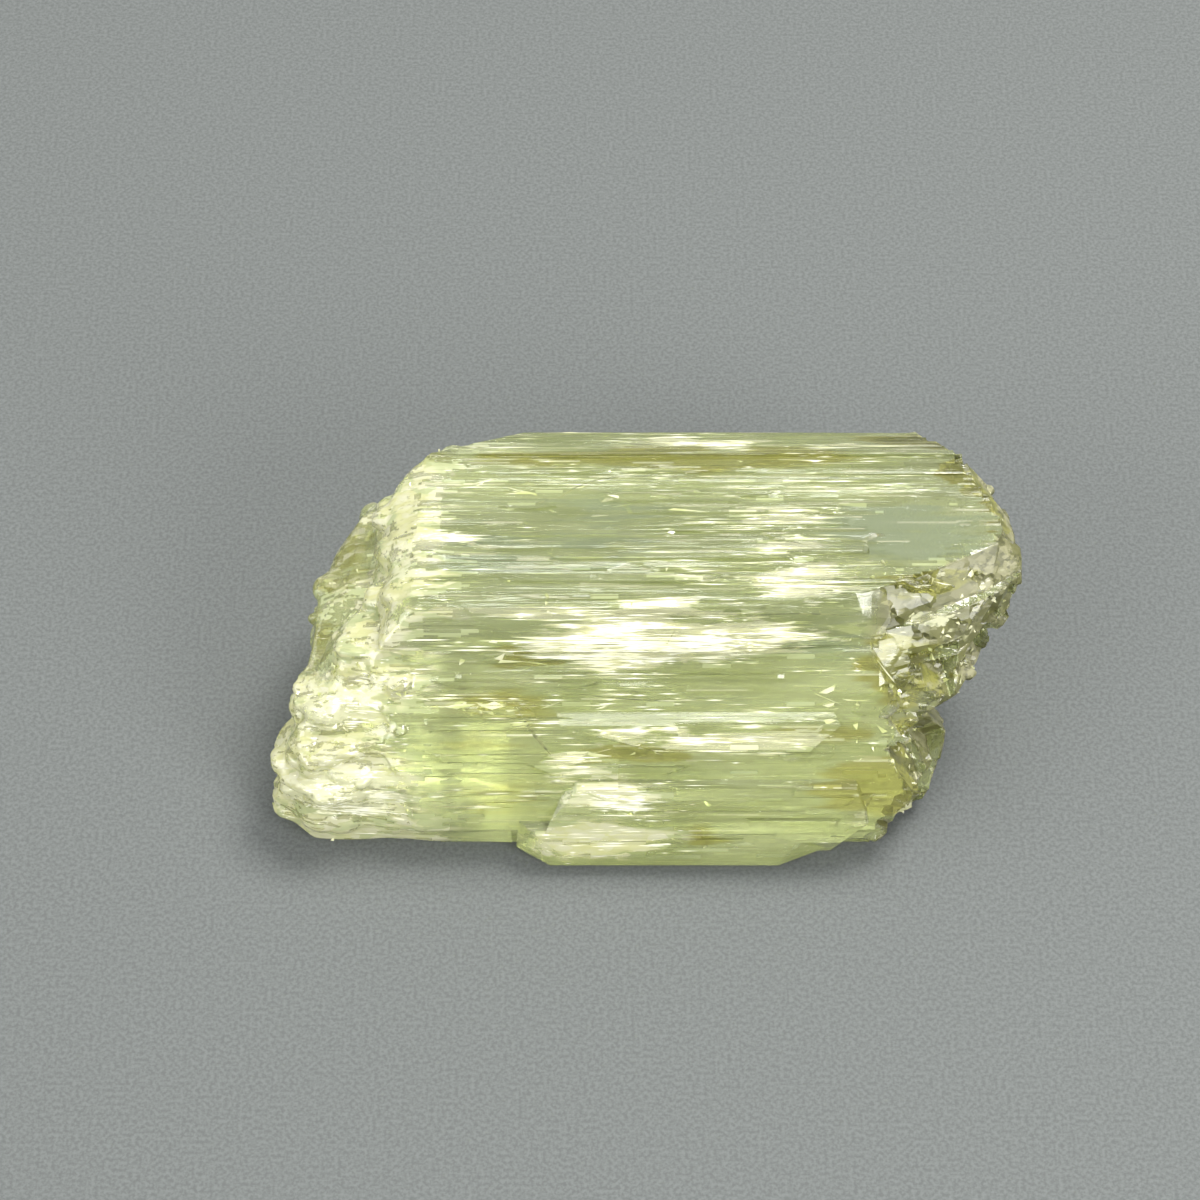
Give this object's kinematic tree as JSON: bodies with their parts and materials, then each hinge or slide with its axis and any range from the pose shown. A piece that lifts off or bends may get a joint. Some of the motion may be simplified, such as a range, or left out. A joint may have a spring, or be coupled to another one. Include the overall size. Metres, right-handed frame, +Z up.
{
  "type": "hiddenite crystal",
  "caption": "Broken lath of see-through pale green spodumene, striated along its length, etched at one end and splintered at the other.",
  "frame": {"origin": "middle of the crystal's box, on the surface it rests on", "axes": "+X along the crystal's length (its c axis) towards the splintered end, +Y towards the upright back, +Z up through the broad plate"},
  "size_m": [0.0272, 0.0144, 0.009],
  "materials": {
    "hiddenite": "clear to cloudy pale yellow-green crystal, striated along its length, frosted where etched, glossy on breaks"
  },
  "bodies": {
    "root": {"crystal": "hiddenite"}
  },
  "joints": []
}
